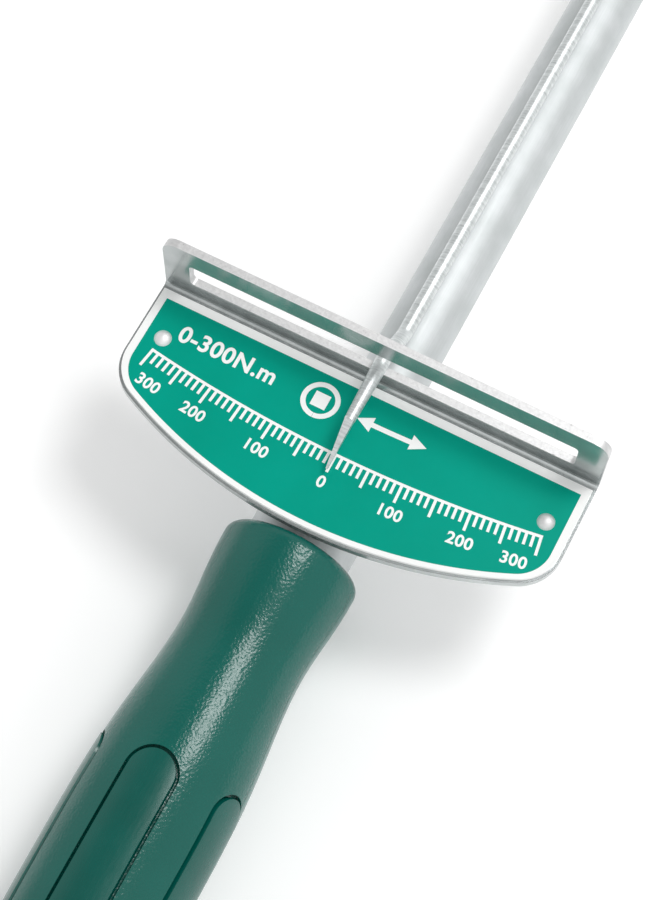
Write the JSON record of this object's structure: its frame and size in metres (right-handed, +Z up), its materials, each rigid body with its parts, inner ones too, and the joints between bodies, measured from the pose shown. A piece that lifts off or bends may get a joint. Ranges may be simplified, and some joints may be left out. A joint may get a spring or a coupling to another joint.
{
  "type": "torque wrench",
  "caption": "Beam torque wrench: square drive, bending beam, fixed pointer, riveted green arc scale on a slotted bracket, moulded handle.",
  "frame": {"origin": "on the axis of the square drive, at the shoulder that a socket seats against", "axes": "+X along the beam from the drive to the handle, +Z up out of the dial, +Y towards the right-hand end of the scale seen from the handle"},
  "size_m": [0.5045, 0.101, 0.0636],
  "materials": {
    "chrome": "satin chrome plating on a forging",
    "dark_steel": "ground, oiled alloy steel",
    "polished_steel": "polished ball",
    "spring_wire": "drawn wire",
    "pin_steel": "phosphated spring steel",
    "pointer_steel": "satin chrome rod",
    "screw_steel": "black oxide",
    "beam_steel": "satin chrome bar",
    "bush_steel": "turned steel",
    "tube_chrome": "satin chrome tube",
    "saddle_steel": "dark coated block",
    "bracket_steel": "zinc plated sheet",
    "dial_print": "green and white printed sheet",
    "rivet_metal": "satin domed rivet",
    "grip_plastic": "dark green moulded plastic with fine grain",
    "cap_plastic": "dark green moulded plastic",
    "pad_rubber": "smooth dark green soft insert"
  },
  "bodies": {
    "head": {"drive_head": "chrome", "square_drive": "dark_steel", "detent_spring": "spring_wire", "shank_pin": "pin_steel", "beam_pin": "pin_steel", "pointer": "pointer_steel", "pointer_screw": "screw_steel"},
    "ball": {"detent_ball": "polished_steel"},
    "arm": {"beam": "beam_steel", "front_bush": "bush_steel", "rear_bush": "bush_steel", "grip_tube": "tube_chrome", "tube_pin": "pin_steel", "bracket_saddle": "saddle_steel", "bracket_screws": "screw_steel", "scale_bracket": "bracket_steel", "dial_sheet": "dial_print", "dial_rivet_left": "rivet_metal", "dial_rivet_right": "rivet_metal", "handle_grip": "grip_plastic", "grip_pad_1": "pad_rubber", "grip_pad_2": "pad_rubber", "grip_pad_3": "pad_rubber", "grip_pad_4": "pad_rubber", "grip_pad_5": "pad_rubber", "end_cap": "cap_plastic"}
  },
  "joints": [
    {"name": "beam_bend", "type": "hinge", "parent": "head", "child": "arm", "pos_m": [0.044, 0, 0.016], "axis": [0, 0, 1], "range_deg": [-8.6, 8.6], "stiffness_Nm_per_rad": 1790, "deforming": ["beam"]},
    {"name": "ball_press", "type": "slide", "parent": "head", "child": "ball", "axis": [1, 0, 0], "range_m": [0, 0.0012], "stiffness_N_per_m": 3000, "springref_m": -0.0015, "deforming": ["detent_spring"]}
  ]
}
